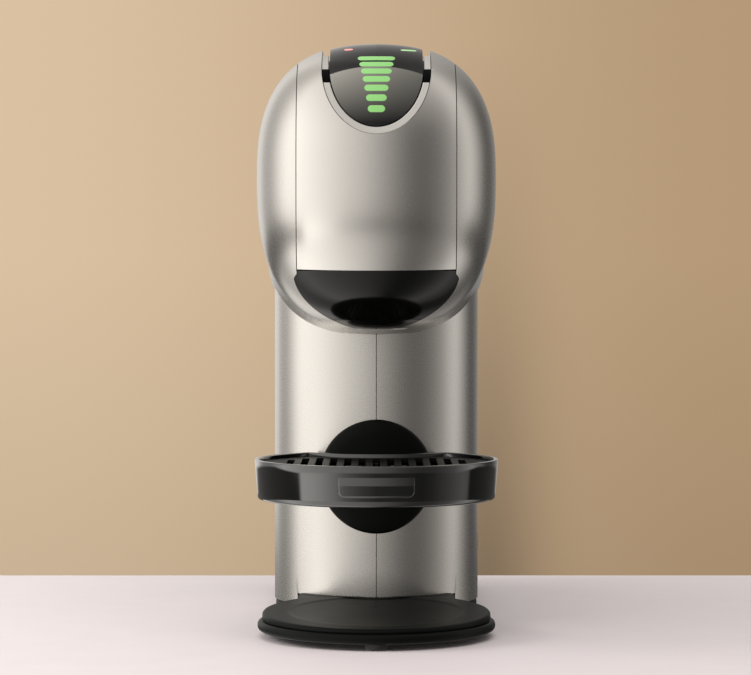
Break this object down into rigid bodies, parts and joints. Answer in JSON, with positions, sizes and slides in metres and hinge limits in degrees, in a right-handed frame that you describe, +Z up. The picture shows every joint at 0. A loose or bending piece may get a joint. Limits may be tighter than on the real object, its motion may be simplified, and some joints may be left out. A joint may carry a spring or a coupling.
{
  "type": "pod coffee machine",
  "caption": "Compact upright pod coffee machine with a lift-up locking handle, pull-out capsule holder, height-adjustable drip tray and lift-off rear water tank.",
  "frame": {"origin": "centre of the bounding box's underside, on the table under the rubber feet", "axes": "+Z up, front of the machine towards -Y, +X to the machine's left as seen from behind and to the right as seen from the front"},
  "size_m": [0.112, 0.27, 0.2712],
  "materials": {
    "satin_silver": "satin silver lacquer over ABS",
    "handle_silver": "satin silver",
    "bright_trim": "polished",
    "gloss_black": "piano black",
    "satin_black": "fine spark-eroded texture",
    "inner_black": "moulded",
    "grid_black": "semi-gloss",
    "foot_rubber": "matt",
    "seal_rubber": "silicone",
    "zinc_steel": "zinc plated",
    "stainless": "drawn",
    "natural_nylon": "glass-filled nylon",
    "clear_hose": "silicone hose",
    "pump_brown": "glass-filled nylon and brass",
    "cast_aluminium": "as cast",
    "sensor_ceramic": "bisque",
    "circuit_green": "solder mask",
    "component_grey": "moulded",
    "bar_light": "lit from behind",
    "status_red": "lit from behind",
    "smoke_clear": "smoke-tinted styrene acrylonitrile",
    "lid_black": "gloss",
    "valve_white": "acetal"
  },
  "bodies": {
    "body": {"base_plate": "satin_black", "base_cover": "satin_black", "rubber_feet": "foot_rubber", "base_screws": "zinc_steel", "left_shell": "satin_silver", "right_shell": "satin_silver", "roof_cover": "satin_silver", "rear_panel": "inner_black", "belly_cover": "satin_silver", "chassis": "inner_black", "brew_housing": "inner_black", "drawer_guide": "inner_black", "guide_rods": "stainless", "hinge_pins": "zinc_steel", "display_lens": "gloss_black", "display_board": "circuit_green", "light_bars": "bar_light", "status_lights": "status_red", "brew_hose": "clear_hose", "tray_rail": "inner_black", "pump": "pump_brown", "pump_mounts": "foot_rubber", "pressure_tube": "clear_hose", "thermoblock": "cast_aluminium", "thermostats": "sensor_ceramic", "steam_pipe": "stainless", "control_board": "circuit_green", "board_parts": "component_grey", "flow_meter": "natural_nylon", "suction_tubes": "clear_hose", "tank_socket": "inner_black", "cord_gland": "inner_black", "panel_screws": "zinc_steel"},
    "handle": {"locking_handle": "handle_silver", "notch_ring": "bright_trim", "handle_liner": "inner_black"},
    "carriage": {"needle_carriage": "natural_nylon", "needle": "stainless", "capsule_seal": "seal_rubber"},
    "holder": {"capsule_holder": "gloss_black"},
    "carrier": {"tray_carrier": "satin_black"},
    "tray": {"drip_tray": "gloss_black", "badge": "gloss_black"},
    "grid": {"drip_grid": "grid_black"},
    "tank": {"water_tank": "smoke_clear", "tank_seal": "seal_rubber", "lid_pin": "zinc_steel"},
    "valve": {"tank_valve": "valve_white", "valve_spring": "stainless"},
    "lid": {"tank_lid": "lid_black"}
  },
  "joints": [
    {"name": "handle_lift", "type": "hinge", "parent": "body", "child": "handle", "pos_m": [0, -0.05, 0.255], "axis": [-1, 0, 0], "range_deg": [0, 50]},
    {"name": "needle_stroke", "type": "slide", "parent": "body", "child": "carriage", "axis": [0, 0, 1], "range_m": [0, 0.008], "deforming": ["brew_hose"]},
    {"name": "holder_slide", "type": "slide", "parent": "body", "child": "holder", "axis": [0, -1, 0], "range_m": [0, 0.075]},
    {"name": "tray_height", "type": "slide", "parent": "body", "child": "carrier", "axis": [0, 0, 1], "range_m": [-0.03, 0.016]},
    {"name": "tray_lift_off", "type": "slide", "parent": "carrier", "child": "tray", "axis": [0, 0, 1], "range_m": [0, 0.018]},
    {"name": "grid_lift_out", "type": "slide", "parent": "tray", "child": "grid", "axis": [0, 0, 1], "range_m": [0, 0.015]},
    {"name": "tank_lift_off", "type": "slide", "parent": "body", "child": "tank", "axis": [0, 0, 1], "range_m": [0, 0.2]},
    {"name": "valve_stroke", "type": "slide", "parent": "tank", "child": "valve", "axis": [0, 0, 1], "range_m": [0, 0.002], "stiffness_N_per_m": 300, "springref_m": -0.003, "deforming": ["valve_spring"]},
    {"name": "lid_hinge", "type": "hinge", "parent": "tank", "child": "lid", "pos_m": [0, 0.126, 0.23], "axis": [-1, 0, 0], "range_deg": [0, 95]}
  ],
  "couplings": [
    {"joint": "needle_stroke", "follows": "handle_lift", "m_per_rad": 0.0091}
  ]
}
